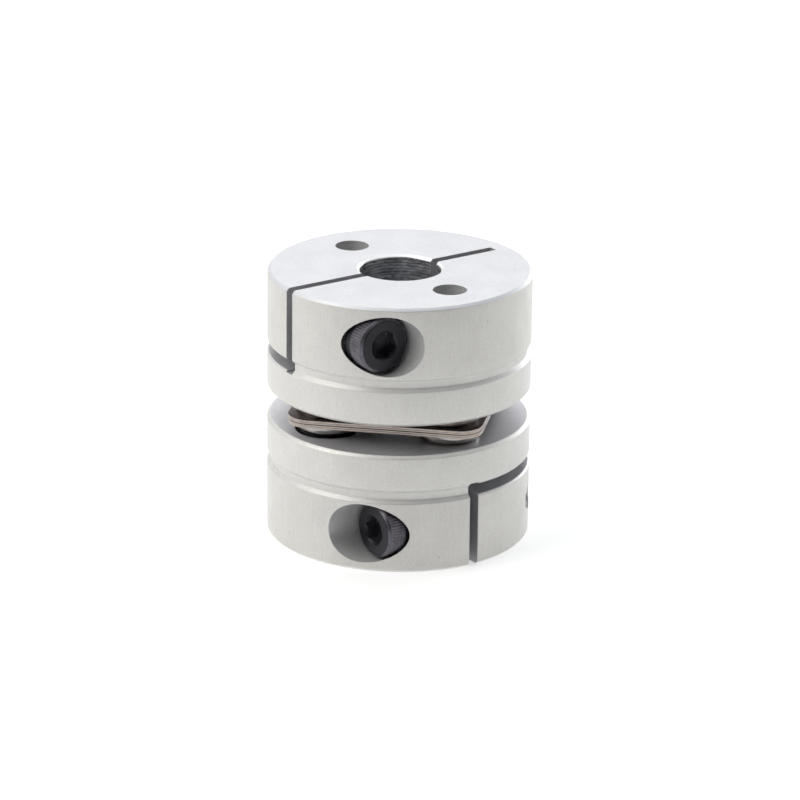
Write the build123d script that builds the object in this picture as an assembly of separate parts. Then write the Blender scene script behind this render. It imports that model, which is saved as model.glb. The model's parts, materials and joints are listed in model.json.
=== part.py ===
from build123d import *
import os
from math import sqrt

os.makedirs("parts", exist_ok=True)

# Single-disc shaft coupling with two clamp hubs. Millimetres. The shaft axis is Z and the origin
# lies on it, halfway through the disc pack. The upper hub's slit lies along X and opens at -X.
# The lower half is the upper half turned half a turn about the line x = y in the mid-plane.

# --- Hubs ---------------------------------------------------------------------------------------
OUTER_DIAMETER = 26.0
BORE_DIAMETER = 8.0
HUB_LENGTH = 12.0
RIM_CHAMFER = 0.3
BORE_CHAMFER = 0.25

FLANGE_THICKNESS = 3.5  # the uncut end of each hub, which carries the disc pack
GROOVE_WIDTH = 1.4  # turned all round, next to the flange
GROOVE_DEPTH = 0.35

SLIT_WIDTH = 1.0  # along the shaft axis, through the bore
BRIDGE_WALL = 1.8  # metal left between the slit's closed end and the rim
SAW_SLOT_WIDTH = 1.1  # across the free jaw, at the middle of the groove
SLIT_OVERRUN = 0.2  # how far the slit runs past the saw slot, towards the flange

# --- Flexible disc leaves, and the conical washers above and below them ----------------------------
LEAF_COUNT = 4
LEAF_THICKNESS = 0.2
LEAF_RIM_INSET = 0.35  # from the hubs' rim to the tip of a leaf's corner
LEAF_CORNER_RADIUS = 2.3
LEAF_BORE_MARGIN = 1.0  # from the bore out to the edge of the leaves' centre hole
DISC_SCREW_INSET = 4.6  # from the hubs' rim to a disc screw's axis

WASHER_THICKNESS = 1.1
WASHER_WIDE_DIAMETER = 6.2  # at the face on the leaves
WASHER_NARROW_DIAMETER = 5.0  # at the face on the hub or under the screw head
WASHER_BAND = 0.4  # height of the straight band at the wide face

# --- M3 socket head screws ------------------------------------------------------------------------
SCREW_DIAMETER = 3.0
HEAD_DIAMETER = 5.5
HEAD_HEIGHT = 3.0
HEAD_CHAMFER = 0.3
SOCKET_ACROSS_FLATS = 2.5
SOCKET_DEPTH = 1.3
SOCKET_CONE = 0.5  # depth of the drill point below the hexagon
TIP_CHAMFER = 0.35
DISC_SCREW_LENGTH = 6.0
CLAMP_SCREW_LENGTH = 10.0

CLAMP_SCREW_INSET = 4.7  # from the hubs' rim to the screw's axis
CLAMP_SCREW_DEPTH = 3.9  # from the hub's outer end face
CLAMP_SEAT = 5.65  # from the slit's mid-plane to the seat under the clamp screw's head
UPPER_SCREW_STANDOFF = 0.8  # the upper clamp screw isn't tightened: its head stands off its seat
CLAMP_SOCKET_TURN = 48.0  # degrees, from the X axis to a corner of the hexagon

# --- Clearances, all radial but the headroom ---------------------------------------------------------
THREAD_CLEARANCE = 0.02  # between a screw and its tapped hole
LEAF_HOLE_CLEARANCE = 0.1  # where a screw passes a leaf or a washer
CLAMP_HOLE_CLEARANCE = 0.2  # where the clamp screw passes the fixed jaw
COUNTERBORE_CLEARANCE = 0.25  # round the clamp screw's head
RECESS_CLEARANCE = 0.5  # round the disc screw's head
RECESS_HEADROOM = 0.25  # above the disc screw's head
KEY_HOLE_CLEARANCE = 0.22  # round the corners of the hexagon key

# --- Sizes that follow from those above ----------------------------------------------------------------
outer_radius = OUTER_DIAMETER / 2
bore_radius = BORE_DIAMETER / 2
screw_radius = SCREW_DIAMETER / 2
head_radius = HEAD_DIAMETER / 2
screw_circle_radius = outer_radius - DISC_SCREW_INSET
clamp_screw_offset = outer_radius - CLAMP_SCREW_INSET

pack_thickness = LEAF_COUNT * LEAF_THICKNESS
inner_face = pack_thickness / 2 + WASHER_THICKNESS
outer_face = inner_face + HUB_LENGTH
groove_bottom = inner_face + FLANGE_THICKNESS
groove_top = groove_bottom + GROOVE_WIDTH
saw_slot_bottom = (groove_bottom + groove_top - SAW_SLOT_WIDTH) / 2

leaf_hole_radius = screw_radius + LEAF_HOLE_CLEARANCE
leaf_centre_radius = bore_radius + LEAF_BORE_MARGIN
leaf_reach = outer_radius - LEAF_RIM_INSET
leaf_across_flats = sqrt(2) * (leaf_reach - LEAF_CORNER_RADIUS) + 2 * LEAF_CORNER_RADIUS

tapped_radius = screw_radius + THREAD_CLEARANCE
clamp_hole_radius = screw_radius + CLAMP_HOLE_CLEARANCE
counterbore_radius = head_radius + COUNTERBORE_CLEARANCE
recess_radius = head_radius + RECESS_CLEARANCE
recess_depth = HEAD_HEIGHT + RECESS_HEADROOM
key_hole_radius = SOCKET_ACROSS_FLATS / sqrt(3) + KEY_HOLE_CLEARANCE

PAST_HUB = OUTER_DIAMETER + HUB_LENGTH  # a cutter of this length always ends outside the hub
FROM_BASE = (Align.CENTER, Align.CENTER, Align.MIN)
TO_TOP = (Align.CENTER, Align.CENTER, Align.MAX)

# The clamp screw's axis, from the slit's mid-plane, with its own +Z towards the screw's head at -Y.
clamp_axis = Pos(-clamp_screw_offset, 0, outer_face - CLAMP_SCREW_DEPTH) * Rot(X=90)


def hub_blank():
    """The turned hub: bore, chamfered rims and the groove next to the flange."""
    profile = Polyline(
        (bore_radius, 0, inner_face + BORE_CHAMFER),
        (bore_radius + BORE_CHAMFER, 0, inner_face),
        (outer_radius - RIM_CHAMFER, 0, inner_face),
        (outer_radius, 0, inner_face + RIM_CHAMFER),
        (outer_radius, 0, groove_bottom),
        (outer_radius - GROOVE_DEPTH, 0, groove_bottom + GROOVE_DEPTH),
        (outer_radius - GROOVE_DEPTH, 0, groove_top - GROOVE_DEPTH),
        (outer_radius, 0, groove_top),
        (outer_radius, 0, outer_face - RIM_CHAMFER),
        (outer_radius - RIM_CHAMFER, 0, outer_face),
        (bore_radius + BORE_CHAMFER, 0, outer_face),
        (bore_radius, 0, outer_face - BORE_CHAMFER),
        close=True,
    )
    return revolve(make_face(profile), Axis.Z)


def slit_and_saw_slot():
    """The slit along the shaft, and the saw slot that frees the jaw at +Y from the flange."""
    slit = Pos(outer_radius - BRIDGE_WALL, 0, saw_slot_bottom - SLIT_OVERRUN) * Box(
        PAST_HUB, SLIT_WIDTH, PAST_HUB, align=(Align.MAX, Align.CENTER, Align.MIN)
    )
    saw_slot = Pos(0, -SLIT_WIDTH / 2, saw_slot_bottom) * Box(
        2 * PAST_HUB, PAST_HUB, SAW_SLOT_WIDTH, align=(Align.CENTER, Align.MIN, Align.MIN)
    )
    return slit + saw_slot


def clamp_screw_hole():
    """Counterbore and clearance hole in the fixed jaw at -Y, tapped hole through the free jaw."""
    counterbore = Pos(0, 0, CLAMP_SEAT) * Cylinder(counterbore_radius, PAST_HUB, align=FROM_BASE)
    clearance_hole = Cylinder(clamp_hole_radius, CLAMP_SEAT, align=FROM_BASE)
    tapped_hole = Cylinder(tapped_radius, PAST_HUB, align=TO_TOP)
    return clamp_axis * (counterbore + clearance_hole + tapped_hole)


def disc_screw_holes():
    """At +-Y a recess for each screw head with a hole for its key, at +-X a tapped hole."""
    recess = Cylinder(recess_radius, recess_depth, align=FROM_BASE)
    key_hole = Cylinder(key_hole_radius, PAST_HUB, align=FROM_BASE)
    tapped_hole = Cylinder(tapped_radius, FLANGE_THICKNESS, align=FROM_BASE)
    holes = []
    for side in (-1, 1):
        holes.append(Pos(0, side * screw_circle_radius, inner_face) * (recess + key_hole))
        holes.append(Pos(side * screw_circle_radius, 0, inner_face) * tapped_hole)
    return holes


def hub():
    """The upper hub."""
    return hub_blank() - slit_and_saw_slot() - clamp_screw_hole() - disc_screw_holes()


def socket_screw(length):
    """A socket head screw that stands on +Z: the seat of its head is at the origin."""
    head = Cylinder(head_radius, HEAD_HEIGHT, align=FROM_BASE)
    head = chamfer(head.edges().group_by(Axis.Z)[-1], HEAD_CHAMFER)
    shank = Cylinder(screw_radius, length, align=TO_TOP)
    shank = chamfer(shank.edges().group_by(Axis.Z)[0], TIP_CHAMFER)
    hexagon = RegularPolygon(SOCKET_ACROSS_FLATS / 2, side_count=6, major_radius=False)
    socket = extrude(Pos(0, 0, HEAD_HEIGHT) * hexagon, -SOCKET_DEPTH)
    drill_point = Pos(0, 0, HEAD_HEIGHT - SOCKET_DEPTH) * Cone(
        0, SOCKET_ACROSS_FLATS / 2, SOCKET_CONE, align=TO_TOP
    )
    return head + shank - socket - drill_point


def conical_washer():
    """A turned washer that stands on its narrow face."""
    profile = Polyline(
        (leaf_hole_radius, 0, 0),
        (WASHER_NARROW_DIAMETER / 2, 0, 0),
        (WASHER_WIDE_DIAMETER / 2, 0, WASHER_THICKNESS - WASHER_BAND),
        (WASHER_WIDE_DIAMETER / 2, 0, WASHER_THICKNESS),
        (leaf_hole_radius, 0, WASHER_THICKNESS),
        close=True,
    )
    return revolve(make_face(profile), Axis.Z)


def disc_leaf():
    """One square spring-steel leaf with its corners, and a screw hole in each, on X and Y."""
    outline = RectangleRounded(
        leaf_across_flats, leaf_across_flats, LEAF_CORNER_RADIUS, rotation=45
    )
    screw_holes = PolarLocations(screw_circle_radius, 4) * Circle(leaf_hole_radius)
    return extrude(outline - Circle(leaf_centre_radius) - screw_holes, LEAF_THICKNESS)


def lower(upper_piece):
    """The same piece of the lower half."""
    return upper_piece.rotate(Axis((0, 0, 0), (1, 1, 0)), 180)


def save(name, piece):
    export_step(piece, f"parts/{name}.step")


# Hubs
upper_hub = hub()
save("upper_hub", upper_hub)
save("lower_hub", lower(upper_hub))

# Clamp screws: the lower one is tight on its seat
clamp_screw = Rot(Z=CLAMP_SOCKET_TURN) * socket_screw(CLAMP_SCREW_LENGTH)
save("upper_clamp_screw", clamp_axis * Pos(0, 0, CLAMP_SEAT + UPPER_SCREW_STANDOFF) * clamp_screw)
save("lower_clamp_screw", lower(clamp_axis * Pos(0, 0, CLAMP_SEAT) * clamp_screw))

# Disc leaves, numbered from the bottom
leaf = disc_leaf()
for number in range(LEAF_COUNT):
    height = number * LEAF_THICKNESS - pack_thickness / 2
    save(f"disc_leaf_{number + 1}", Pos(0, 0, height) * leaf)

# On the screw circle: screws with a washer under each head, and collars, the same turned piece,
# between the leaves and the hub that the screws are tapped into. The upper hub's screws are at the
# front and back, and the turn puts the lower hub's at the left and right.
washer = conical_washer()
disc_joint = {
    "disc_screw": Pos(0, 0, inner_face) * socket_screw(DISC_SCREW_LENGTH),
    "head_washer": Pos(0, 0, inner_face) * Rot(X=180) * washer,
    "collar": Pos(0, 0, -inner_face) * washer,
}
for kind, piece in disc_joint.items():
    front = Pos(0, -screw_circle_radius, 0) * piece
    back = Pos(0, screw_circle_radius, 0) * piece
    save(f"{kind}_front", front)
    save(f"{kind}_back", back)
    save(f"{kind}_left", lower(front))
    save(f"{kind}_right", lower(back))
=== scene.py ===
import bpy
import bmesh
import json
from math import cos, pi, radians, sin, sqrt, tau
from mathutils import Matrix, Vector


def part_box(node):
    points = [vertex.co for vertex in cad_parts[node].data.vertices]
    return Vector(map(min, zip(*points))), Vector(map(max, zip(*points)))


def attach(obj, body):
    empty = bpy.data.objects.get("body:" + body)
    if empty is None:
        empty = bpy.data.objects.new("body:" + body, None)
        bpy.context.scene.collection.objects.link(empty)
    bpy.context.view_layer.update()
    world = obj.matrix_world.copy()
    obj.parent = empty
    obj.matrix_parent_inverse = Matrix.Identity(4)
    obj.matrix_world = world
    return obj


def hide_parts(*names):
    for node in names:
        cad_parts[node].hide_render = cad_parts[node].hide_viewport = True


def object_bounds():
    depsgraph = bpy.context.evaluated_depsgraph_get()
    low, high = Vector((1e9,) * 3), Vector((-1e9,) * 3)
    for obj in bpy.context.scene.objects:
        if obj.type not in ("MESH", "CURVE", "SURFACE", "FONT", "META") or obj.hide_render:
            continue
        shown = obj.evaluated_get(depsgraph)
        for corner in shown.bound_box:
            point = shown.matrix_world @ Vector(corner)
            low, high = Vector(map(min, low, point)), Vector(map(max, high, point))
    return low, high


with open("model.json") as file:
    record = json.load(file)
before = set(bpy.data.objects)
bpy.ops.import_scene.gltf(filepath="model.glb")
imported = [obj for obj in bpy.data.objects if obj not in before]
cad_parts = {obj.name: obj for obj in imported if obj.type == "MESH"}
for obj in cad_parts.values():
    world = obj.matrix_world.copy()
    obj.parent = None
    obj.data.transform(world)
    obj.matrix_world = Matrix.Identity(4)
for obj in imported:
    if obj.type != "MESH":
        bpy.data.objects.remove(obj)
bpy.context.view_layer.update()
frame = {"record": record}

# The shaft axis is Z. Shapes are drawn in millimetres, each standing on its own +Z, and placed by a
# matrix that ends in metres. The lower half is the upper half turned about the line x = y.
MM = 0.001
METRES = Matrix.Scale(MM, 4)
HALF_TURN = Matrix.Rotation(pi, 4, Vector((1, 1, 0)))
TOWARDS_FRONT = Matrix.Rotation(pi / 2, 4, "X")
FLIP = Matrix.Rotation(pi, 4, "X")

# --- Sizes read from the frame --------------------------------------------------------------------
hub_low, hub_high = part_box("upper_hub")
outer_radius = hub_high.x / MM
inner_face = hub_low.z / MM
outer_face = hub_high.z / MM
mounts = {mount["name"]: mount for mount in frame["record"]["mounts"]}
bore_radius = mounts["upper_bore"]["dims"]["r_mm"]

washer_low, washer_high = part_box("collar_front")
washer_thickness = (washer_high.z - washer_low.z) / MM
washer_radius = (washer_high.x - washer_low.x) / 2 / MM
screw_circle = -(washer_low.y + washer_high.y) / 2 / MM

clamp_low, clamp_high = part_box("upper_clamp_screw")
clamp_x = (clamp_low.x + clamp_high.x) / 2 / MM
clamp_z = (clamp_low.z + clamp_high.z) / 2 / MM
head_radius = (clamp_high.x - clamp_low.x) / 2 / MM
upper_face_y = clamp_low.y / MM
lower_face_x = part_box("lower_clamp_screw")[0].x / MM
clamp_length = (clamp_high.y - clamp_low.y) / MM
disc_low, disc_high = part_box("disc_screw_front")
disc_length = (disc_high.z - disc_low.z) / MM

leaf_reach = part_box("disc_leaf_1")[1].x / MM

# --- Sizes that the part's source gives or works out, in millimetres ------------------------------
RIM_CHAMFER = 0.3
BORE_CHAMFER = 0.25
FLANGE_THICKNESS = 3.5
GROOVE_WIDTH = 1.4
GROOVE_DEPTH = 0.35
SLIT_WIDTH = 1.0
SAW_SLOT_WIDTH = 1.1
SLIT_OVERRUN = 0.2  # how far the slit runs past the saw slot
BRIDGE_WALL = 1.8  # metal left between the slit's closed end and the rim
CLAMP_SEAT = 5.65  # from the slit's middle to the seat of the clamp screw's head
CLAMP_HOLE_RADIUS = 1.7
COUNTERBORE_RADIUS = 3.0
RECESS_RADIUS = 3.25
RECESS_DEPTH = 3.25
KEY_HOLE_RADIUS = 1.663
TAPPED_RADIUS = 1.52
HEAD_HEIGHT = 3.0
HEAD_CHAMFER = 0.3
SCREW_RADIUS = 1.5
SOCKET_ACROSS_FLATS = 2.5
SOCKET_DEPTH = 1.3
SOCKET_CONE = 0.5  # depth of the drill point below the hexagon
TIP_CHAMFER = 0.35
CLAMP_SOCKET_TURN = radians(48)  # from the X axis to a corner of the hexagon
LEAF_CORNER_RADIUS = 2.3
LEAF_CENTRE_RADIUS = 5.0
LEAF_HOLE_RADIUS = 1.6
WASHER_NARROW_RADIUS = 2.5
WASHER_BAND = 0.4  # height of the straight band at the wide face

# --- Finer detail than the solids have, in millimetres --------------------------------------------
EDGE_BREAK = 0.05
THREAD_PITCH = 0.5
THREAD_DEPTH = 0.27
THREAD_STEEPNESS = 1.35  # over 1, so that the flanks end in flats at the root and the crest
THREAD_ROOT = 0.15
SHANK_GAP = 0.001  # between a shank and the underside of its head
SEAT_INSET = 0.15  # from the head's side in to the rim of its seat
HEAD_BREAK = 0.08  # height of the edge break at the seat, and of the knurl's run-in
KNURL_TEETH = 60  # round the head
KNURL_DEPTH = 0.07
KNURL_START = 1.0
KNURL_END = 2.58
KNURL_FADE = 0.12  # height over which the knurl fades, to KNURL_FADED of its depth
KNURL_FADED = 0.3
CORNER_BREAK = 0.04  # at the lower corner of the head's chamfer
CROWN_BREAK = 0.05  # at its upper corner
CROWN_INSET = 0.03
SOCKET_MOUTH_RADIUS = 1.5
SOCKET_MOUTH_DEPTH = 0.3
DRILL_INSET = 0.02  # keeps the drill point clear of the hexagon's flats
LEAF_GAP = 0.004
PACK_GAP = 0.032  # where the two middle leaves face each other
LEAF_EDGE = 0.006
WELD = 1e-5  # points closer than this are one
CREASE = radians(25)  # edges sharper than this stay sharp

# How finely the shapes are drawn
HUB_SEGMENTS = 360
HOLE_SEGMENTS = 192
THREAD_SEGMENTS = 60
THREAD_STEPS = 10  # rows to one turn of the helix
TOOTH_SEGMENTS = 8
SOCKET_SEGMENTS = 96
WASHER_SEGMENTS = 128
WASHER_STEPS = 12
LEAF_CORNER_STEPS = 16
LEAF_CENTRE_SEGMENTS = 128
LEAF_HOLE_SEGMENTS = 64

# How far cutters reach past what they cut
PAST_HUB = outer_radius + outer_face
PAST_JAW = 3
PAST_FACE = 0.1
OVERLAP = 1  # into a space that is cut away as well

groove_bottom = inner_face + FLANGE_THICKNESS
groove_top = groove_bottom + GROOVE_WIDTH
saw_slot_bottom = (groove_bottom + groove_top - SAW_SLOT_WIDTH) / 2

# --- Node trees -----------------------------------------------------------------------------------
NOISE_LOW = 0.3  # most of a noise pattern lies between these two values
NOISE_HIGH = 0.7
RING_DRIFT = 2.5  # how far a noise pattern shifts tool marks, in radians


class Tree:
    """Short calls for building a node tree."""

    def __init__(self, node_tree):
        self.nodes = node_tree.nodes
        self.links = node_tree.links

    def add(self, kind, **settings):
        node = self.nodes.new(kind)
        for key, value in settings.items():
            setattr(node, key, value)
        return node

    def feed(self, socket, value):
        if isinstance(value, bpy.types.NodeSocket):
            self.links.new(value, socket)
        else:
            socket.default_value = value

    def math(self, operation, first, second=0.0):
        node = self.add("ShaderNodeMath", operation=operation)
        for socket, value in zip(node.inputs, (first, second)):
            self.feed(socket, value)
        return node.outputs[0]

    def span(self, value, low, high, to_low=0.0, to_high=1.0):
        """Value mapped from low..high to to_low..to_high, clamped."""
        node = self.add("ShaderNodeMapRange")
        for socket, number in zip(node.inputs, (value, low, high, to_low, to_high)):
            self.feed(socket, number)
        return node.outputs[0]

    def blend(self, factor, first, second):
        """The first colour where the factor is 0, the second where it is 1."""
        node = self.add("ShaderNodeMix", data_type="RGBA")
        self.feed(node.inputs["Factor"], factor)
        self.feed(node.inputs["A"], (*first, 1) if isinstance(first, tuple) else first)
        self.feed(node.inputs["B"], (*second, 1) if isinstance(second, tuple) else second)
        return node.outputs["Result"]


class Surface(Tree):
    """A material's nodes. Widths, depths and heights are given in millimetres."""

    def __init__(self, name):
        self.material = bpy.data.materials.new(name)
        self.material.use_nodes = True
        super().__init__(self.material.node_tree)
        self.shader = self.nodes["Principled BSDF"]
        self.place = self.add("ShaderNodeTexCoord").outputs["Object"]
        self.geometry = self.add("ShaderNodeNewGeometry")

    def noise(self, scale, detail=3.0, stretch=(1, 1, 1), roughness=0.5):
        """Noise from 0 to 1, with about `scale` features to a millimetre along each axis."""
        mapping = self.add("ShaderNodeMapping")
        self.feed(mapping.inputs["Vector"], self.place)
        mapping.inputs["Scale"].default_value = [s / MM for s in stretch]
        node = self.add("ShaderNodeTexNoise")
        self.feed(node.inputs["Vector"], mapping.outputs[0])
        node.inputs["Scale"].default_value = scale
        node.inputs["Detail"].default_value = detail
        node.inputs["Roughness"].default_value = roughness
        return node.outputs["Fac"]

    def spread(self, pattern, to_low=0.0, to_high=1.0):
        """The usual range of a noise pattern mapped to to_low..to_high."""
        return self.span(pattern, NOISE_LOW, NOISE_HIGH, to_low, to_high)

    def mottle(self, pattern, dark, light):
        """A tint that varies with a noise pattern."""
        return self.blend(self.spread(pattern), dark, light)

    def wear_and_highlight(self, tint, edge, share, bare_and_lit):
        """The tint with a share of a lighter colour along the edges: partly bare metal worn at the
        edges, partly a painted highlight where the edges catch the light.
        """
        return self.blend(self.math("MULTIPLY", edge, share), tint, bare_and_lit)

    def axes(self):
        node = self.add("ShaderNodeSeparateXYZ")
        self.feed(node.inputs[0], self.place)
        return node.outputs

    def radius(self):
        """Distance from the shaft axis, in millimetres."""
        x, y, _ = self.axes()
        squares = self.math("ADD", self.math("MULTIPLY", x, x), self.math("MULTIPLY", y, y))
        return self.math("DIVIDE", self.math("SQRT", squares), MM)

    def height(self):
        """Height above the middle of the coupling, in millimetres."""
        return self.math("DIVIDE", self.axes()[2], MM)

    def distance(self):
        """Distance from the middle of the coupling along the shaft axis, in millimetres."""
        return self.math("ABSOLUTE", self.height())

    def tilt(self):
        """1 on faces looking up, 0 on upright walls, -1 on faces looking down."""
        node = self.add("ShaderNodeSeparateXYZ")
        self.feed(node.inputs[0], self.geometry.outputs["True Normal"])
        return node.outputs[2]

    def end_face(self):
        """1 on faces square to the shaft axis, 0 on walls along it."""
        return self.span(self.math("ABSOLUTE", self.tilt()), 0.9, 0.98)

    def edges(self, width):
        """1 at edges and corners, fading to 0 over `width` millimetres, and the rounded normal."""
        bevel = self.add("ShaderNodeBevel", samples=6)
        bevel.inputs["Radius"].default_value = width * MM
        dot = self.add("ShaderNodeVectorMath", operation="DOT_PRODUCT")
        self.feed(dot.inputs[0], bevel.outputs[0])
        self.feed(dot.inputs[1], self.geometry.outputs["Normal"])
        return self.span(dot.outputs["Value"], 0.99, 0.8), bevel.outputs[0]

    def relief(self, *layers, normal=None):
        """Bumps one over another: each layer is (height from 0 to 1, depth in millimetres)."""
        for value, depth in layers:
            bump = self.add("ShaderNodeBump")
            bump.inputs["Strength"].default_value = 1.0
            bump.inputs["Distance"].default_value = depth * MM
            self.feed(bump.inputs["Height"], value)
            if normal is not None:
                self.feed(bump.inputs["Normal"], normal)
            normal = bump.outputs[0]
        self.feed(self.shader.inputs["Normal"], normal)

    def finish(self, color, metallic, roughness):
        self.feed(self.shader.inputs["Base Color"], color)
        self.feed(self.shader.inputs["Metallic"], metallic)
        self.feed(self.shader.inputs["Roughness"], roughness)
        return self.material


def rings(tree, position, per_mm, waver):
    """Fine tool marks that repeat along `position`, unevenly spaced."""
    drift = tree.math("MULTIPLY", waver, RING_DRIFT)
    turns = tree.math("ADD", tree.math("MULTIPLY", position, per_mm * tau), drift)
    return tree.span(tree.math("SINE", turns), -1, 1)


def satin_aluminium():
    """Turned and finely blasted: a sandy grain, faint turning rings, wiping marks and a few specks.

    The flanges next to the leaves are a little brighter than the rest.
    """
    t = Surface("satin_aluminium")
    grain = t.noise(5, 5, roughness=0.7)
    cloud = t.noise(0.35, 4)
    turning = rings(t, t.radius(), 5, t.noise(0.6))
    feed = rings(t, t.height(), 6, t.noise(0.6))
    end_face = t.end_face()
    marks = t.blend(end_face, feed, turning)
    wiped = t.noise(3, 3, (1, 1, 0.12))
    edge, soft = t.edges(0.07)
    t.relief((marks, 0.0012), (grain, 0.02), normal=soft)
    side_tint = t.mottle(cloud, (0.715, 0.705, 0.675), (0.775, 0.765, 0.735))
    end_tint = t.mottle(cloud, (0.71, 0.71, 0.74), (0.765, 0.765, 0.795))
    side_tint = t.blend(t.span(wiped, 0.5, 0.75, 0.0, 0.25), side_tint, (0.88, 0.875, 0.86))
    flange = t.span(t.distance(), groove_bottom, groove_top, 0.25, 0.0)
    side_tint = t.blend(flange, side_tint, (0.92, 0.915, 0.89))
    tint = t.blend(end_face, side_tint, end_tint)
    tint = t.blend(t.span(grain, 0.35, 0.75, 0.0, 0.3), tint, (0.45, 0.45, 0.44))
    specks = t.span(t.noise(2.2, 1), 0.77, 0.83, 0.0, 0.45)
    tint = t.blend(specks, tint, (0.30, 0.29, 0.28))
    # Edges lighter: partly wear, partly a painted highlight.
    color = t.wear_and_highlight(tint, edge, 0.5, (0.88, 0.88, 0.88))
    return t.finish(color, 0.55, t.span(grain, 0.2, 0.8, 0.42, 0.54))


def chamfered_aluminium():
    """The slanting facets: the rims' are bluish, and those that look down are tinted brightest, a
    painted light for the light thrown up from below.
    """
    t = Surface("chamfered_aluminium")
    smear = t.noise(1.2, 3)
    t.relief((rings(t, t.height(), 12, smear), 0.0008), (t.noise(9, 3), 0.003))
    tint = t.mottle(smear, (0.75, 0.745, 0.73), (0.83, 0.825, 0.815))
    rim = t.span(t.distance(), groove_top, outer_face - 1)
    tint = t.blend(rim, tint, (0.79, 0.80, 0.84))
    # Painted light: facets that look down are tinted brighter.
    color = t.blend(t.span(t.tilt(), -0.3, -0.6), tint, (0.96, 0.955, 0.94))
    return t.finish(color, 0.4, t.spread(smear, 0.45, 0.54))


def countersunk_aluminium():
    """The bore's chamfers, cut bright by a countersink."""
    t = Surface("countersunk_aluminium")
    smear = t.noise(1.5, 3)
    t.relief((smear, 0.004))
    tint = t.mottle(smear, (0.88, 0.885, 0.89), (0.95, 0.955, 0.96))
    return t.finish(tint, 0.8, t.spread(smear, 0.46, 0.54))


def bored_aluminium():
    """The bore: uneven boring rings, smeared dark in places, and bright and dull at the edges as a
    painted highlight.
    """
    t = Surface("bored_aluminium")
    smear = t.noise(0.9, 4, (1, 1, 4))
    feed = rings(t, t.height(), 3.2, smear)
    edge, soft = t.edges(0.14)
    t.relief((feed, 0.012), (t.noise(5, 3, (1, 1, 3)), 0.01), normal=soft)
    tint = t.blend(t.span(smear, 0.35, 0.65), (0.30, 0.305, 0.33), (0.66, 0.665, 0.69))
    # Painted highlight: the edges are tinted bright and made less metallic.
    color = t.blend(edge, tint, (0.95, 0.95, 0.95))
    return t.finish(color, t.span(edge, 0, 1, 0.7, 0.1), t.spread(smear, 0.2, 0.36))


def sawn_aluminium():
    """Slit and slot walls: streaks square to the shaft, a little darker than the turned faces."""
    t = Surface("sawn_aluminium")
    streaks = t.noise(3, 4, (1, 1, 6))
    edge, soft = t.edges(0.05)
    t.relief((streaks, 0.012), normal=soft)
    tint = t.mottle(streaks, (0.54, 0.54, 0.56), (0.66, 0.66, 0.68))
    # Edges lighter: partly wear, partly a painted highlight.
    color = t.wear_and_highlight(tint, edge, 0.6, (0.9, 0.9, 0.9))
    return t.finish(color, 0.35, t.spread(streaks, 0.4, 0.55))


def drilled_aluminium(name, level):
    """Counterbores, recesses and other holes: cutter marks under a fine grain."""
    t = Surface(name)
    x, y, _ = t.axes()
    grain = t.noise(6, 3)
    cutter = rings(t, t.math("DIVIDE", t.math("SUBTRACT", y, x), MM), 3, grain)
    edge, soft = t.edges(0.05)
    t.relief((cutter, 0.003), (grain, 0.006), normal=soft)
    light = level + 0.1
    tint = t.mottle(grain, (level, level, level + 0.01), (light, light, light))
    # Edges lighter: partly wear, partly a painted highlight.
    color = t.wear_and_highlight(tint, edge, 0.4, (0.9, 0.9, 0.9))
    return t.finish(color, 0.3, t.spread(grain, 0.36, 0.48))


def black_oxide():
    """Blackened alloy steel with a trace of oil, lighter grey on its edges: partly worn oxide, partly a
    painted highlight.
    """
    t = Surface("black_oxide")
    patch = t.noise(0.8, 4)
    grain = t.noise(11, 3)
    edge, soft = t.edges(0.06)
    t.relief((grain, 0.006), normal=soft)
    tint = t.mottle(patch, (0.012, 0.012, 0.019), (0.023, 0.022, 0.031))
    # Edges lighter grey: partly wear, partly a painted highlight.
    worn_and_glint = t.math("MULTIPLY", edge, t.span(grain, 0.35, 0.7, 0.2, 0.8))
    color = t.blend(worn_and_glint, tint, (0.24, 0.22, 0.26))
    t.shader.inputs["Specular IOR Level"].default_value = 0.28
    return t.finish(color, 0.0, t.spread(patch, 0.34, 0.48))


def rubbed_oxide_and_sheen():
    """Black oxide lightened to grey on the knurl and rim of a screw head, and on the walls of its
    socket: partly rubbed oxide, partly a painted highlight for the light these faces catch.
    """
    t = Surface("rubbed_oxide_and_sheen")
    patch = t.noise(1.5, 3)
    grain = t.noise(7, 3)
    t.relief((grain, 0.008))
    tint = t.mottle(patch, (0.09, 0.085, 0.10), (0.145, 0.137, 0.16))
    return t.finish(tint, 0.6, t.spread(grain, 0.3, 0.42))


def spring_steel():
    """Rolled strip with a brownish edge where it was cut."""
    t = Surface("spring_steel")
    streaks = t.noise(1.2, 3, (1, 1, 4))
    rolled = t.noise(4, 3, (1, 0.12, 1))
    edge, soft = t.edges(0.03)
    t.relief((rolled, 0.001), (streaks, 0.002), normal=soft)
    cut_edge = t.mottle(streaks, (0.31, 0.27, 0.245), (0.43, 0.375, 0.34))
    flat = t.mottle(rolled, (0.20, 0.17, 0.155), (0.25, 0.22, 0.20))
    color = t.blend(t.end_face(), cut_edge, flat)
    return t.finish(color, 0.9, t.spread(streaks, 0.26, 0.36))


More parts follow.
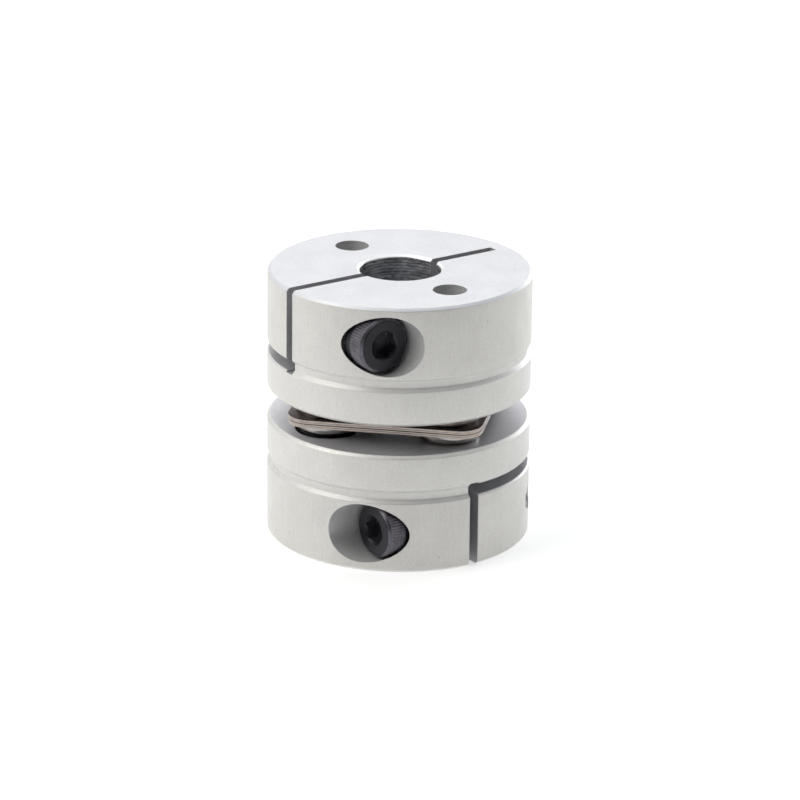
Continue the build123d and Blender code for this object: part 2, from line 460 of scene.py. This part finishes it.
def turned_steel():
    """Turned washers with fine rings. Those above the leaves take a darker tint: painted shade for the
    shadow under the upper hub.
    """
    t = Surface("turned_steel")
    smear = t.noise(1.2, 4, (1, 1, 3))
    feed = rings(t, t.height(), 9, smear)
    edge, soft = t.edges(0.04)
    t.relief((feed, 0.0015), normal=soft)
    bright = t.mottle(smear, (0.34, 0.325, 0.31), (0.45, 0.435, 0.42))
    painted_shade_tint = t.mottle(smear, (0.085, 0.072, 0.068), (0.14, 0.125, 0.12))
    # Painted shade: the washers above the middle of the coupling take the darker tint.
    tint = t.blend(t.span(t.height(), -0.1, 0.1), bright, painted_shade_tint)
    # Edges lighter: partly wear, partly a painted highlight.
    color = t.wear_and_highlight(tint, edge, 0.3, (0.6, 0.6, 0.6))
    return t.finish(color, 0.95, t.spread(smear, 0.16, 0.26))


# Material slots, in the order of each list below
TURNED, BORED, SAWN, DRILLED, CHAMFERED, COUNTERSUNK, NARROW_SHADED = range(7)
HUB_MATERIALS = [
    satin_aluminium(),
    bored_aluminium(),
    sawn_aluminium(),
    drilled_aluminium("drilled_aluminium", 0.8),
    chamfered_aluminium(),
    countersunk_aluminium(),
    # Painted shade: the narrow key holes take a darker tint than the other holes.
    drilled_aluminium("drilled_narrow_shaded", 0.66),
]
PLAIN, RUBBED_AND_SHEEN = range(2)
SCREW_MATERIALS = [black_oxide(), rubbed_oxide_and_sheen()]
LEAF_MATERIALS = [spring_steel()]
WASHER_MATERIALS = [turned_steel()]

# --- Shapes ---------------------------------------------------------------------------------------


def as_object(bm, name, materials):
    bmesh.ops.recalc_face_normals(bm, faces=bm.faces)
    mesh = bpy.data.meshes.new(name)
    bm.to_mesh(mesh)
    bm.free()
    for material in materials:
        mesh.materials.append(material)
    obj = bpy.data.objects.new(name, mesh)
    bpy.context.scene.collection.objects.link(obj)
    return obj


def rounded(corners, radius, steps=4):
    """A closed outline of (r, z) corners with each corner turned into a small curve."""
    outline = []
    count = len(corners)
    for i, corner in enumerate(corners):
        here = Vector(corner)
        before = Vector(corners[i - 1]) - here
        after = Vector(corners[(i + 1) % count]) - here
        reach = min(radius, before.length / 3, after.length / 3)
        start = here + before.normalized() * reach
        end = here + after.normalized() * reach
        for step in range(steps + 1):
            along = step / steps
            outline.append(start * (1 - along) ** 2 + here * 2 * along * (1 - along) + end * along ** 2)
    return outline


def lathe(outline, segments, surface_of=lambda start, end: PLAIN):
    """The closed outline spun about Z. surface_of gives the material of the wall between two points."""
    bm = bmesh.new()
    grid = []
    for k in range(segments):
        turn = tau * k / segments
        grid.append([bm.verts.new((r * cos(turn), r * sin(turn), z)) for r, z in outline])
    for k in range(segments):
        ring, following = grid[k], grid[(k + 1) % segments]
        for i in range(len(outline)):
            j = (i + 1) % len(outline)
            face = bm.faces.new((ring[i], following[i], following[j], ring[j]))
            face.material_index = surface_of(outline[i], outline[j])
    return bm


def tube(rows, segments, surface=PLAIN):
    """A solid with closed ends. Each row is its radius, as a function of the turn, and its height."""
    bm = bmesh.new()
    grid = []
    for radius, z in rows:
        ring = []
        for k in range(segments):
            turn = tau * k / segments
            r = radius(turn)
            ring.append(bm.verts.new((r * cos(turn), r * sin(turn), z)))
        grid.append(ring)
    for ring, following in zip(grid, grid[1:]):
        for k in range(segments):
            j = (k + 1) % segments
            bm.faces.new((ring[k], ring[j], following[j], following[k]))
    bm.faces.new(grid[0])
    bm.faces.new(grid[-1])
    for face in bm.faces:
        face.material_index = surface
    return bm


def plain(radius):
    """The same radius at every turn."""
    return lambda turn: radius


def rod(radius, low, high, surface=DRILLED):
    return tube([(plain(radius), low), (plain(radius), high)], HOLE_SEGMENTS, surface)


def thread(crest, low, high, tip=0.0, surface=PLAIN):
    """A threaded rod, chamfered by `tip` at its low end.

    Its helix is tied to z = 0, so a screw and its hole mesh.
    """
    rows = []
    count = round((high - low) / THREAD_PITCH * THREAD_STEPS)
    for i in range(count + 1):
        z = low + (high - low) * i / count
        limit = crest if tip == 0 else min(crest, crest - tip + (z - low))

        def radius(turn, z=z, limit=limit):
            along = (z / THREAD_PITCH - turn / tau) % 1
            flank = min(1, max(0, abs(along * 2 - 1) * THREAD_STEEPNESS - THREAD_ROOT))
            return min(limit, crest - THREAD_DEPTH * (1 - flank))

        rows.append((radius, z))
    return tube(rows, THREAD_SEGMENTS, surface)


def prism(corners, low, high, surface):
    bm = bmesh.new()
    bottom, top = [[bm.verts.new((x, y, z)) for x, y in corners] for z in (low, high)]
    for i in range(len(corners)):
        j = (i + 1) % len(corners)
        bm.faces.new((bottom[i], bottom[j], top[j], top[i]))
    bm.faces.new(bottom)
    bm.faces.new(top)
    for face in bm.faces:
        face.material_index = surface
    return bm


def arc(centre, radius, start, end, steps):
    turns = [start + (end - start) * i / steps for i in range(steps + 1)]
    return [(centre[0] + radius * cos(turn), centre[1] + radius * sin(turn)) for turn in turns]


def circle(centre, radius, count, start=0.0):
    return arc(centre, radius, start, start + tau * (count - 1) / count, count - 1)


def sawn_block(x, y, z):
    """A box from pairs of limits."""
    corners = [(x[0], y[0]), (x[1], y[0]), (x[1], y[1]), (x[0], y[1])]
    return prism(corners, z[0], z[1], SAWN)


def cut(target, cutters):
    """Takes each cutter, a pair of mesh and placing matrix, out of the target."""
    for bm, matrix in cutters:
        tool = as_object(bm, "cutter", target.data.materials)
        tool.matrix_world = matrix
        modifier = target.modifiers.new("cut", "BOOLEAN")
        modifier.operation = "DIFFERENCE"
        modifier.solver = "EXACT"
        modifier.object = tool
        bpy.context.view_layer.update()
        graph = bpy.context.evaluated_depsgraph_get()
        result = bpy.data.meshes.new_from_object(target.evaluated_get(graph))
        target.modifiers.clear()
        old = target.data
        target.data = result
        bpy.data.meshes.remove(old)
        bpy.data.objects.remove(tool)


def place(obj, matrix):
    """Moves the mesh itself, in millimetres, to its place in metres, and smooths it by angle."""
    mesh = obj.data
    mesh.transform(METRES @ matrix)
    mesh.update()
    bm = bmesh.new()
    bm.from_mesh(mesh)
    for face in bm.faces:
        face.smooth = True
    for edge in bm.edges:
        edge.smooth = len(edge.link_faces) == 2 and edge.calc_face_angle(0) < CREASE
    bm.to_mesh(mesh)
    bm.free()
    return obj


def stand_for(obj, node):
    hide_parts(node)
    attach(obj, "root")


def shift(x=0.0, y=0.0, z=0.0):
    return Matrix.Translation((x, y, z))


# --- Hubs -----------------------------------------------------------------------------------------
clamp_axis = shift(clamp_x, 0, clamp_z) @ TOWARDS_FRONT


def hub_surface(start, end):
    """The bore, its chamfers and the other slanting facets differ from the turned faces.

    The small chamfer next to the leaves is finished as the turned faces are.
    """
    farther = max(start[0], end[0])
    slanting = min(abs(start[0] - end[0]), abs(start[1] - end[1])) > EDGE_BREAK
    if farther < bore_radius + EDGE_BREAK:
        return BORED
    if farther < bore_radius + BORE_CHAMFER:
        return COUNTERSUNK
    if max(start[1], end[1]) < inner_face + RIM_CHAMFER:
        return TURNED
    return CHAMFERED if slanting else TURNED


def hub(name):
    corners = [
        (bore_radius, inner_face + BORE_CHAMFER),
        (bore_radius + BORE_CHAMFER, inner_face),
        (outer_radius - RIM_CHAMFER, inner_face),
        (outer_radius, inner_face + RIM_CHAMFER),
        (outer_radius, groove_bottom),
        (outer_radius - GROOVE_DEPTH, groove_bottom + GROOVE_DEPTH),
        (outer_radius - GROOVE_DEPTH, groove_top - GROOVE_DEPTH),
        (outer_radius, groove_top),
        (outer_radius, outer_face - RIM_CHAMFER),
        (outer_radius - RIM_CHAMFER, outer_face),
        (bore_radius + BORE_CHAMFER, outer_face),
        (bore_radius, outer_face - BORE_CHAMFER),
    ]
    outline = rounded(corners, EDGE_BREAK)
    piece = as_object(lathe(outline, HUB_SEGMENTS, hub_surface), name, HUB_MATERIALS)
    free_jaw = -sqrt(outer_radius ** 2 - clamp_x ** 2)
    slit = sawn_block(
        (-PAST_HUB, outer_radius - BRIDGE_WALL),
        (-SLIT_WIDTH / 2, SLIT_WIDTH / 2),
        (saw_slot_bottom - SLIT_OVERRUN, PAST_HUB),
    )
    saw_slot = sawn_block(
        (-PAST_HUB, PAST_HUB),
        (-SLIT_WIDTH / 2, PAST_HUB),
        (saw_slot_bottom, saw_slot_bottom + SAW_SLOT_WIDTH),
    )
    cutters = [
        (slit, Matrix()),
        (saw_slot, Matrix()),
        (rod(COUNTERBORE_RADIUS, CLAMP_SEAT, PAST_HUB), clamp_axis),
        (rod(CLAMP_HOLE_RADIUS, -SLIT_WIDTH / 4, CLAMP_SEAT + OVERLAP), clamp_axis),
        (thread(TAPPED_RADIUS, free_jaw - PAST_JAW, 0, surface=DRILLED), clamp_axis),
    ]
    for side in (-1, 1):
        there = shift(0, side * screw_circle, inner_face)
        cutters.append((rod(RECESS_RADIUS, -OVERLAP, RECESS_DEPTH), there))
        # The key hole's walls take the darker tint: painted shade.
        cutters.append((rod(KEY_HOLE_RADIUS, RECESS_DEPTH - OVERLAP, PAST_HUB, NARROW_SHADED), there))
        tapped = thread(TAPPED_RADIUS, -groove_bottom, OVERLAP - inner_face, surface=DRILLED)
        cutters.append((tapped, HALF_TURN @ shift(0, side * screw_circle)))
    cut(piece, cutters)
    return piece


upper = hub("upper_hub_finish")
lower = upper.copy()
lower.data = upper.data.copy()
lower.name = "lower_hub_finish"
bpy.context.scene.collection.objects.link(lower)
place(upper, Matrix())
place(lower, HALF_TURN)
stand_for(upper, "upper_hub")
stand_for(lower, "lower_hub")

# --- Screws ---------------------------------------------------------------------------------------


def socket_screw(name, length, thread_start, socket_turn):
    """Stands on +Z with its seat at z = 0. thread_start keeps its helix in step with its hole."""
    def knurl(amount):
        def radius(turn):
            tooth = abs(sin(turn * KNURL_TEETH / 2))
            return head_radius - amount * KNURL_DEPTH * (1 - tooth)
        return radius

    chamfer_start = HEAD_HEIGHT - HEAD_CHAMFER
    crown_radius = head_radius - HEAD_CHAMFER
    rows = [
        (plain(head_radius - SEAT_INSET), 0),
        (plain(head_radius - KNURL_DEPTH), HEAD_BREAK),
        (plain(head_radius - KNURL_DEPTH), KNURL_START),
        (knurl(1), KNURL_START + HEAD_BREAK),
        (knurl(1), KNURL_END - KNURL_FADE),
        (knurl(KNURL_FADED), KNURL_END),
        (plain(head_radius), KNURL_END + KNURL_FADE / 2),
        (plain(head_radius), chamfer_start - CORNER_BREAK),
        (plain(head_radius - CORNER_BREAK), chamfer_start + CORNER_BREAK),
        (plain(crown_radius + CROWN_BREAK), HEAD_HEIGHT - CROWN_BREAK),
        (plain(crown_radius - CROWN_INSET), HEAD_HEIGHT),
    ]
    blank = tube(rows, KNURL_TEETH * TOOTH_SEGMENTS)
    for face in blank.faces:
        # The knurl and rim take the lighter oxide: partly rubbed, partly a painted highlight.
        if KNURL_START < face.calc_center_median().z < HEAD_HEIGHT - HEAD_BREAK:
            face.material_index = RUBBED_AND_SHEEN
    head = as_object(blank, name, SCREW_MATERIALS)
    hexagon = circle((0, 0), SOCKET_ACROSS_FLATS / sqrt(3), 6, socket_turn)
    floor = HEAD_HEIGHT - SOCKET_DEPTH
    point_radius = SOCKET_ACROSS_FLATS / 2 - DRILL_INSET
    point = [
        (plain(DRILL_INSET), floor - SOCKET_CONE),
        (plain(point_radius), floor),
        (plain(point_radius), floor + PAST_FACE),
    ]
    mouth = [
        (plain(SOCKET_MOUTH_RADIUS - SOCKET_MOUTH_DEPTH), HEAD_HEIGHT - SOCKET_MOUTH_DEPTH),
        (plain(SOCKET_MOUTH_RADIUS + PAST_FACE), HEAD_HEIGHT + PAST_FACE),
    ]
    # The socket's walls take the lighter oxide: partly rubbed, partly a painted highlight.
    cut(head, [
        (prism(hexagon, floor, HEAD_HEIGHT + OVERLAP, RUBBED_AND_SHEEN), Matrix()),
        (tube(mouth, SOCKET_SEGMENTS), Matrix()),
        (tube(point, SOCKET_SEGMENTS), Matrix()),
    ])
    shank = thread(SCREW_RADIUS, -length - thread_start, -thread_start - SHANK_GAP, TIP_CHAMFER)
    bm = bmesh.new()
    bm.from_mesh(head.data)
    shank.transform(shift(z=thread_start))
    part = bpy.data.meshes.new("shank")
    shank.to_mesh(part)
    shank.free()
    bm.from_mesh(part)
    bpy.data.meshes.remove(part)
    bmesh.ops.recalc_face_normals(bm, faces=bm.faces)
    bm.to_mesh(head.data)
    bm.free()
    return head


def fit_screw(name, node, length, matrix, seat, socket_turn=0.0):
    """Puts a screw's seat at `seat` along the axis of its hole."""
    piece = socket_screw(name, length, -seat, socket_turn)
    place(piece, matrix @ shift(z=seat))
    stand_for(piece, node)


clamp_shank = clamp_length - HEAD_HEIGHT
upper_seat = -upper_face_y - HEAD_HEIGHT
lower_seat = -lower_face_x - HEAD_HEIGHT
fit_screw("upper_clamp_screw_finish", "upper_clamp_screw", clamp_shank,
          clamp_axis, upper_seat, CLAMP_SOCKET_TURN)
fit_screw("lower_clamp_screw_finish", "lower_clamp_screw", clamp_shank,
          HALF_TURN @ clamp_axis, lower_seat, CLAMP_SOCKET_TURN)

# --- Washers, and the disc screws that hold them --------------------------------------------------


def washer(name):
    """Stands on its narrow face and bulges out to the wide one like a bowl."""
    bulge = washer_radius - WASHER_NARROW_RADIUS
    rise = washer_thickness - WASHER_BAND
    outline = [(LEAF_HOLE_RADIUS, 0)]
    for step in range(WASHER_STEPS + 1):
        turn = pi / 2 * step / WASHER_STEPS
        outline.append((WASHER_NARROW_RADIUS + bulge * sin(turn), rise * (1 - cos(turn))))
    outline += [(washer_radius, washer_thickness), (LEAF_HOLE_RADIUS, washer_thickness)]
    shape = lathe(rounded(outline, EDGE_BREAK / 2, 2), WASHER_SEGMENTS)
    return as_object(shape, name, WASHER_MATERIALS)


PLACES = {
    "front": shift(y=-screw_circle),
    "back": shift(y=screw_circle),
    "left": HALF_TURN @ shift(y=-screw_circle),
    "right": HALF_TURN @ shift(y=screw_circle),
}
for side, there in PLACES.items():
    head_washer = place(washer(f"head_washer_{side}_finish"), there @ shift(z=inner_face) @ FLIP)
    stand_for(head_washer, f"head_washer_{side}")
    collar = place(washer(f"collar_{side}_finish"), there @ shift(z=-inner_face))
    stand_for(collar, f"collar_{side}")
    fit_screw(f"disc_screw_{side}_finish", f"disc_screw_{side}", disc_length - HEAD_HEIGHT,
              there, inner_face)

# --- Leaves ---------------------------------------------------------------------------------------


def leaf(name, low, high):
    """A flat strip-steel square with a corner over each axis, and with softened edges.

    The curve's bevel widens it by LEAF_EDGE, so each loop is drawn that much inside the metal.
    """
    reach = leaf_reach - LEAF_CORNER_RADIUS
    corner_radius = LEAF_CORNER_RADIUS - LEAF_EDGE
    outline = []
    holes = [circle((0, 0), LEAF_CENTRE_RADIUS + LEAF_EDGE, LEAF_CENTRE_SEGMENTS)]
    for corner in range(4):
        middle = corner * pi / 2
        centre = (reach * cos(middle), reach * sin(middle))
        outline += arc(centre, corner_radius, middle - pi / 4, middle + pi / 4, LEAF_CORNER_STEPS)
        centre = (screw_circle * cos(middle), screw_circle * sin(middle))
        holes.append(circle(centre, LEAF_HOLE_RADIUS + LEAF_EDGE, LEAF_HOLE_SEGMENTS))
    curve = bpy.data.curves.new(name, "CURVE")
    curve.dimensions = "2D"
    curve.fill_mode = "BOTH"
    curve.extrude = (high - low) / 2 - LEAF_EDGE
    curve.bevel_depth = LEAF_EDGE
    curve.bevel_resolution = 2
    for loop in [outline, *holes]:
        spline = curve.splines.new("POLY")
        spline.points.add(len(loop) - 1)
        for point, (x, y) in zip(spline.points, loop):
            point.co = (x, y, 0, 1)
        spline.use_cyclic_u = True
    shape = bpy.data.objects.new(name, curve)
    bpy.context.scene.collection.objects.link(shape)
    bpy.context.view_layer.update()
    graph = bpy.context.evaluated_depsgraph_get()
    mesh = bpy.data.meshes.new_from_object(shape.evaluated_get(graph))
    bpy.data.objects.remove(shape)
    mesh.materials.clear()
    bm = bmesh.new()
    bm.from_mesh(mesh)
    bpy.data.meshes.remove(mesh)
    bmesh.ops.remove_doubles(bm, verts=bm.verts, dist=WELD)
    piece = as_object(bm, name, LEAF_MATERIALS)
    return place(piece, shift(z=(low + high) / 2))


for number in range(1, 5):
    node = f"disc_leaf_{number}"
    low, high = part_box(node)
    gap_below = PACK_GAP if number == 3 else LEAF_GAP
    gap_above = PACK_GAP if number == 2 else LEAF_GAP
    piece = leaf(f"{node}_finish", low.z / MM + gap_below, high.z / MM - gap_above)
    stand_for(piece, node)

# --- Studio ---------------------------------------------------------------------------------------
CAMERA_AZIMUTH = radians(-34.95)
CAMERA_ELEVATION = radians(19.46)
CAMERA_ROLL = radians(0.66)
CAMERA_DISTANCE = 0.4563  # metres
CAMERA_LENS = 207.8
SENSOR_WIDTH = 36
CLIP_START = 0.01
AIM_RIGHT = 0.00012
AIM_UP = -0.00025
BACKDROP = 1.0
CEILING = 0.64
CEILING_RISE = (0.6, 0.9)  # heights of a direction between which walls turn to ceiling
CAMERA_SIDE = (0.0, 0.7)  # cosines to the camera's side between which the walls turn dark
FLOOR_HALF = 1.5
FLOOR_STEPS = 24
FLOOR_GLOW = 0.58  # added to the floor as the camera sees it
FLOOR_SHINE = 0.74  # added to it in reflections
WARM = (1.0, 0.98, 0.93)
COOL = (0.95, 0.975, 1.0)
# Azimuth and elevation in degrees, distance, width and height in metres, watts, colour
SOFTBOXES = {
    "left_softbox": (-105, 38, 0.6, 0.35, 0.45, 1.5, WARM),
    "back_softbox": (145, 22, 0.8, 0.9, 0.35, 0.47, COOL),
    "right_softbox": (105, 7, 0.6, 0.3, 0.15, 1.1, COOL),
    "top_softbox": (145, 73, 0.7, 0.85, 0.85, 3.15, COOL),
}


def facing(azimuth, elevation):
    """Unit axes right, up and back of a view from that direction."""
    back = Vector((sin(azimuth) * cos(elevation), -cos(azimuth) * cos(elevation), sin(elevation)))
    right = Vector((0, 0, 1)).cross(back).normalized()
    return right, back.cross(right), back


def looking(azimuth, elevation, distance, aim=(0, 0)):
    """Where a camera or lamp stands to look at the coupling from that direction."""
    right, up, back = facing(azimuth, elevation)
    where = back * distance + right * aim[0] + up * aim[1]
    return Matrix.Translation(where) @ Matrix((right, up, back)).transposed().to_4x4()


def add_camera():
    data = bpy.data.cameras.new("camera")
    data.lens = CAMERA_LENS
    data.sensor_width = SENSOR_WIDTH
    data.clip_start = CLIP_START
    camera = bpy.data.objects.new("camera", data)
    bpy.context.scene.collection.objects.link(camera)
    view = looking(CAMERA_AZIMUTH, CAMERA_ELEVATION, CAMERA_DISTANCE, (AIM_RIGHT, AIM_UP))
    camera.matrix_world = view @ Matrix.Rotation(CAMERA_ROLL, 4, "Z")
    bpy.context.scene.camera = camera


def add_softbox(name, azimuth, elevation, distance, width, height, power, color):
    data = bpy.data.lights.new(name, "AREA")
    data.shape = "RECTANGLE"
    data.size = width
    data.size_y = height
    data.energy = power
    data.color = color
    light = bpy.data.objects.new(name, data)
    bpy.context.scene.collection.objects.link(light)
    light.matrix_world = looking(radians(azimuth), radians(elevation), distance)


def add_world():
    """Plain white to the camera, and no light on dull surfaces.

    Reflections show a white room with a dimmer ceiling, dark on the camera's side.
    """
    world = bpy.data.worlds.new("studio")
    world.use_nodes = True
    tree = Tree(world.node_tree)
    path = tree.add("ShaderNodeLightPath").outputs
    outward = tree.add("ShaderNodeTexCoord").outputs["Generated"]
    direction = tree.add("ShaderNodeSeparateXYZ")
    tree.feed(direction.inputs[0], outward)
    ahead = tree.add("ShaderNodeVectorMath", operation="DOT_PRODUCT")
    tree.feed(ahead.inputs[0], outward)
    tree.feed(ahead.inputs[1], facing(CAMERA_AZIMUTH, 0)[2])
    walls = tree.span(ahead.outputs["Value"], *CAMERA_SIDE, BACKDROP, 0.0)
    room = tree.span(direction.outputs["Z"], *CEILING_RISE, walls, CEILING)
    mirrored = tree.math("MAXIMUM", path["Is Glossy Ray"], path["Is Transmission Ray"])
    lit = tree.span(mirrored, 0, 1, 0.0, room)
    level = tree.span(path["Is Camera Ray"], 0, 1, lit, BACKDROP)
    background = tree.nodes["Background"]
    tree.feed(background.inputs["Color"], (1, 1, 1, 1))
    tree.feed(background.inputs["Strength"], level)
    bpy.context.scene.world = world


def add_floor():
    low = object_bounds()[0].z
    ticks = [(i / FLOOR_STEPS * 2 - 1) * FLOOR_HALF for i in range(FLOOR_STEPS + 1)]
    bm = bmesh.new()
    rows = [[bm.verts.new((x, y, low)) for y in ticks] for x in ticks]
    for row, following in zip(rows, rows[1:]):
        for j in range(FLOOR_STEPS):
            bm.faces.new((row[j], following[j], following[j + 1], row[j + 1]))
    paper = Surface("floor_paper")
    paper.finish((0.82, 0.82, 0.82, 1), 0.0, 0.9)
    paper.relief((paper.noise(0.5, 3), 0.01))
    path = paper.add("ShaderNodeLightPath").outputs
    seen = paper.math("MULTIPLY", path["Is Camera Ray"], FLOOR_GLOW)
    mirrored = paper.math("MULTIPLY", path["Is Glossy Ray"], FLOOR_SHINE)
    glow = paper.add("ShaderNodeEmission")
    paper.feed(glow.inputs["Strength"], paper.math("ADD", seen, mirrored))
    both = paper.add("ShaderNodeAddShader")
    paper.feed(both.inputs[0], paper.shader.outputs[0])
    paper.feed(both.inputs[1], glow.outputs[0])
    paper.feed(paper.nodes["Material Output"].inputs["Surface"], both.outputs[0])
    floor = as_object(bm, "floor", [paper.material])


add_floor()
add_world()
for name, settings in SOFTBOXES.items():
    add_softbox(name, *settings)
add_camera()
bpy.context.scene.view_settings.view_transform = "Standard"
